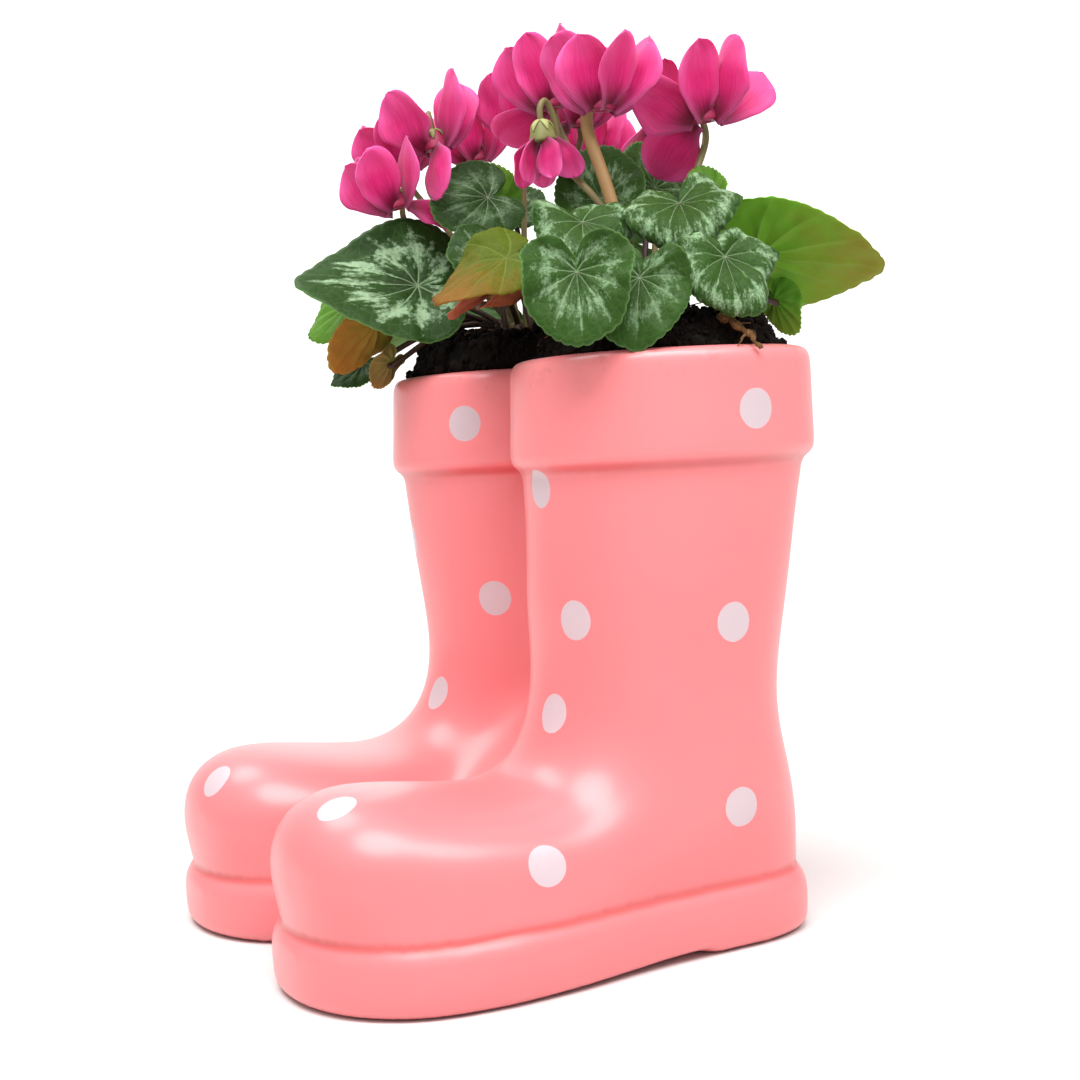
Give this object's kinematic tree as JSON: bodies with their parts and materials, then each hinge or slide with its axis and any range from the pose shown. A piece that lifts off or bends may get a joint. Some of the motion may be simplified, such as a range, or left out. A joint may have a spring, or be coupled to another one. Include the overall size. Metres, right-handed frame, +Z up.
{
  "type": "potted cyclamen",
  "caption": "Potted cyclamen: small flowering plants with heart-shaped marbled leaves and swept-back pink petals, growing in a glazed planter shaped like a pair of dotted boots.",
  "frame": {"origin": "underside of the fused soles, midway between the two boots, below the legs", "axes": "+Z up, the boots' toes towards -Y, the left boot at +X and the right boot at -X"},
  "size_m": [0.2394, 0.2371, 0.3259],
  "materials": {
    "glazed_planter": "gloss",
    "potting_soil": "matte",
    "tuber": "matte",
    "leaf": "satin",
    "petal": "matte",
    "flower_stalk": "satin"
  },
  "bodies": {
    "root": {"planter": "glazed_planter", "soil_left": "potting_soil", "soil_right": "potting_soil", "tuber_left": "tuber", "tuber_right": "tuber", "leaf_left_01": "leaf", "leaf_left_02": "leaf", "leaf_left_03": "leaf", "leaf_left_04": "leaf", "leaf_left_05": "leaf", "leaf_left_06": "leaf", "leaf_left_07": "leaf", "leaf_left_08": "leaf", "leaf_left_09": "leaf", "leaf_left_10": "leaf", "leaf_left_11": "leaf", "leaf_left_12": "leaf", "leaf_left_13": "leaf", "leaf_right_01": "leaf", "leaf_right_02": "leaf", "leaf_right_03": "leaf", "leaf_right_04": "leaf", "leaf_right_05": "leaf", "leaf_right_06": "leaf", "leaf_right_07": "leaf", "leaf_right_08": "leaf", "leaf_right_09": "leaf", "leaf_right_10": "leaf", "leaf_right_11": "leaf", "leaf_right_12": "leaf", "leaf_right_13": "leaf", "leaf_right_14": "leaf", "leaf_right_15": "leaf", "leaf_right_16": "leaf", "bloom_left_01": "petal", "bloom_left_02": "petal", "bloom_left_03": "petal", "bloom_left_04": "petal", "bloom_left_05": "petal", "bloom_right_01": "petal", "bloom_right_02": "petal", "bloom_right_03": "petal", "bloom_right_04": "petal", "bloom_right_05": "petal", "bloom_right_06": "petal", "bloom_right_07": "petal", "stalk_left_01": "flower_stalk", "stalk_left_02": "flower_stalk", "stalk_left_03": "flower_stalk", "stalk_left_04": "flower_stalk", "stalk_left_05": "flower_stalk", "stalk_right_01": "flower_stalk", "stalk_right_02": "flower_stalk", "stalk_right_03": "flower_stalk", "stalk_right_04": "flower_stalk", "stalk_right_05": "flower_stalk", "stalk_right_06": "flower_stalk", "stalk_right_07": "flower_stalk"}
  },
  "joints": []
}
